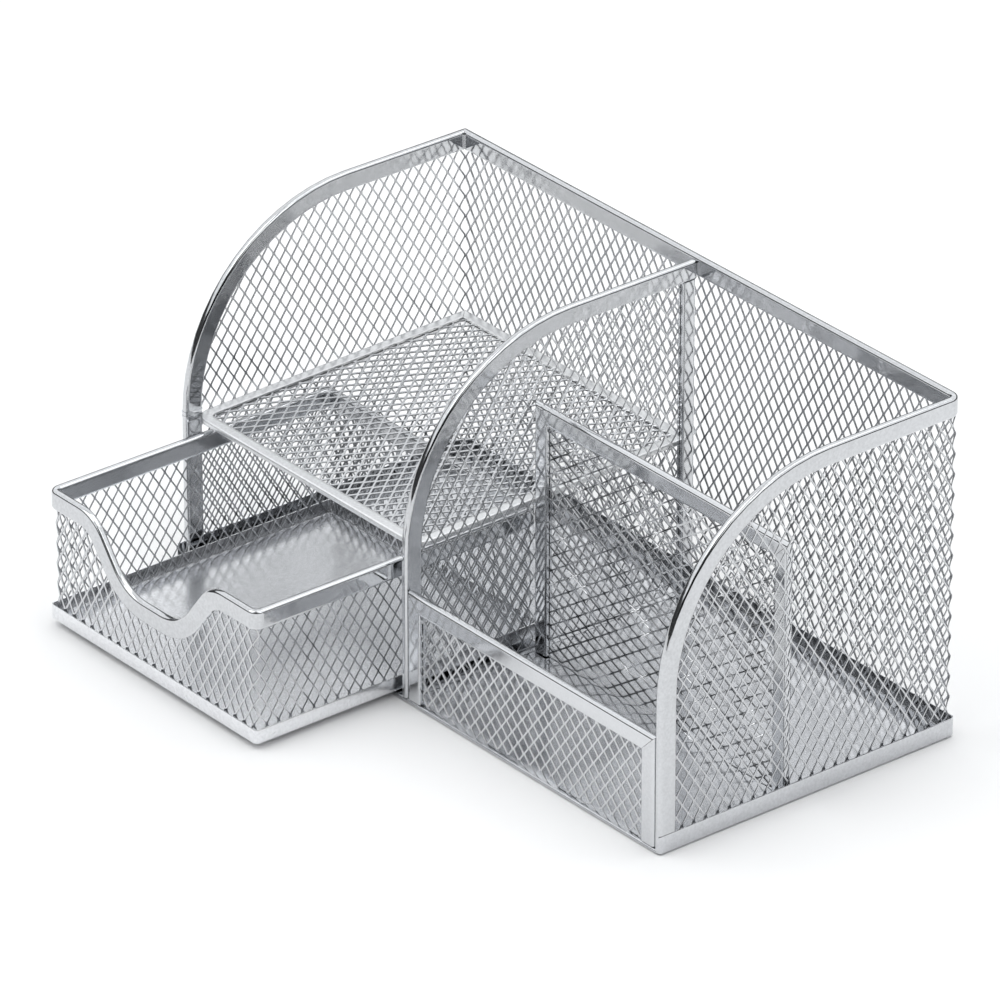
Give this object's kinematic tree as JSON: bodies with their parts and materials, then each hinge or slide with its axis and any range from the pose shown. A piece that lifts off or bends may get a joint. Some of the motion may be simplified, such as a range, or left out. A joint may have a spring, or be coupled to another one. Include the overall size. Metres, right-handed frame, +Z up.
{
  "type": "mesh desk organizer",
  "caption": "Mesh desk organizer in a silver finish: swept side walls, a shelf over a sliding drawer with a finger notch, and a divided open bay behind a low front lip.",
  "frame": {"origin": "middle of the base pan's underside, on the desk, without the drawer's reach in front", "axes": "+X to the right seen from the front, +Y to the back wall, +Z up"},
  "size_m": [0.2208, 0.1593, 0.108],
  "materials": {
    "mesh": "silver lacquer on expanded steel sheet, satin gloss",
    "band": "silver lacquer on folded steel, glossy",
    "shelf_edge": "silver lacquer on folded steel, glossy",
    "pan": "silver lacquer on pressed steel, satin"
  },
  "bodies": {
    "organizer": {"base_pan": "pan", "left_wall_mesh": "mesh", "back_wall_mesh": "mesh", "right_wall_mesh": "mesh", "left_rim_band": "band", "back_rim_band": "band", "right_rim_band": "band", "middle_divider_mesh": "mesh", "middle_divider_rim_band": "band", "middle_divider_rear_band": "band", "shelf_mesh": "mesh", "shelf_frame": "shelf_edge", "shelf_back_strip": "shelf_edge", "inner_divider_mesh": "mesh", "inner_divider_top_band": "band", "inner_divider_left_band": "band", "inner_divider_right_band": "band", "front_lip_mesh": "mesh", "front_lip_top_band": "band", "front_lip_left_band": "band", "front_lip_right_band": "band"},
    "drawer": {"drawer_pan": "pan", "drawer_front_mesh": "mesh", "drawer_left_mesh": "mesh", "drawer_right_mesh": "mesh", "drawer_back_mesh": "mesh", "drawer_front_rim_band": "band", "drawer_left_rim_band": "band", "drawer_right_rim_band": "band", "drawer_back_rim_band": "band"}
  },
  "joints": [
    {"name": "drawer_slide", "type": "slide", "parent": "organizer", "child": "drawer", "axis": [0, -1, 0], "range_m": [-0.0515, 0.03]}
  ]
}
